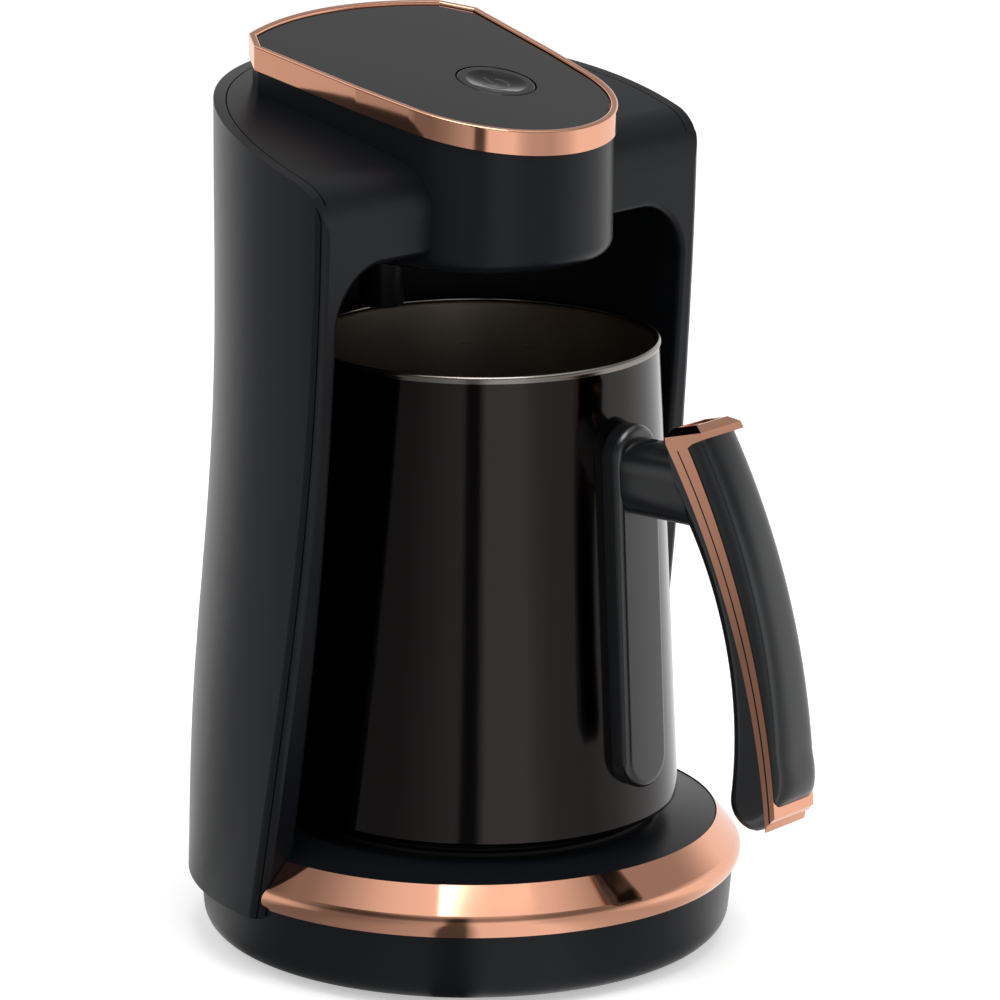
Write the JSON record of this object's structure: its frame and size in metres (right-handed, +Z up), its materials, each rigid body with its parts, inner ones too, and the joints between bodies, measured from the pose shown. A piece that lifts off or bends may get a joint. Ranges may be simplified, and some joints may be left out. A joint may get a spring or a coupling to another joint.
{
  "type": "electric turkish coffee maker",
  "caption": "Upright coffee maker: round base with hot plate, column round the back of the pot bay, overhanging head with a push button, tapered pot with side handle.",
  "frame": {"origin": "centre of the foot ring's underside, on the surface that the machine stands on", "axes": "+Z up, -Y to the front where the pot is drawn out, +X to the right seen from the front of the machine looking along +Y"},
  "size_m": [0.1408, 0.1761, 0.2298],
  "materials": {
    "black_plastic": "satin",
    "copper_trim": "metallised rose copper",
    "panel_plastic": "gloss",
    "button_plastic": "gloss",
    "plate_coating": "dark non-stick coating",
    "pot_steel": "dark tinted outside, brushed inside",
    "plain_steel": "plain",
    "screw_steel": "zinc plated",
    "black_rubber": "matt",
    "board_laminate": "solder mask",
    "component_plastic": "moulded",
    "wire_sleeve": "matt",
    "clear_lens": "clear"
  },
  "bodies": {
    "machine": {"rear_shell": "black_plastic", "front_housing": "black_plastic", "base_housing": "black_plastic", "base_cover": "black_plastic", "cord_gland": "black_plastic", "sensor_housing": "black_plastic", "base_trim": "copper_trim", "head_trim": "copper_trim", "top_panel": "panel_plastic", "hot_plate": "plate_coating", "heat_shield": "plain_steel", "heating_element": "plain_steel", "thermostat": "plain_steel", "thermal_fuse": "plain_steel", "base_screws": "screw_steel", "cover_screws": "screw_steel", "plate_screws": "screw_steel", "board_screws": "screw_steel", "foot_ring": "black_rubber", "plate_seal": "black_rubber", "power_board": "board_laminate", "control_board": "board_laminate", "sensor_board": "board_laminate", "transformer": "component_plastic", "relay": "component_plastic", "capacitor": "component_plastic", "terminal_block": "component_plastic", "button_switch": "component_plastic", "buzzer": "component_plastic", "wiring_harness": "wire_sleeve", "sensor_window": "clear_lens", "button_led": "clear_lens"},
    "pot": {"pot_body": "pot_steel", "pot_base": "pot_steel", "handle_pad": "black_plastic", "handle_bracket": "plain_steel", "handle_inner": "black_plastic", "handle_outer": "black_plastic", "handle_trim": "copper_trim", "handle_plug": "panel_plastic", "handle_screws": "screw_steel"},
    "button": {"power_button": "button_plastic"}
  },
  "joints": [
    {"name": "pot_slide", "type": "slide", "parent": "machine", "child": "pot", "axis": [0, -1, 0], "range_m": [0, 0.165]},
    {"name": "button_press", "type": "slide", "parent": "machine", "child": "button", "axis": [0, 0.2045, -0.9789], "range_m": [0, 0.0008], "stiffness_N_per_m": 2000, "springref_m": -0.0004}
  ]
}
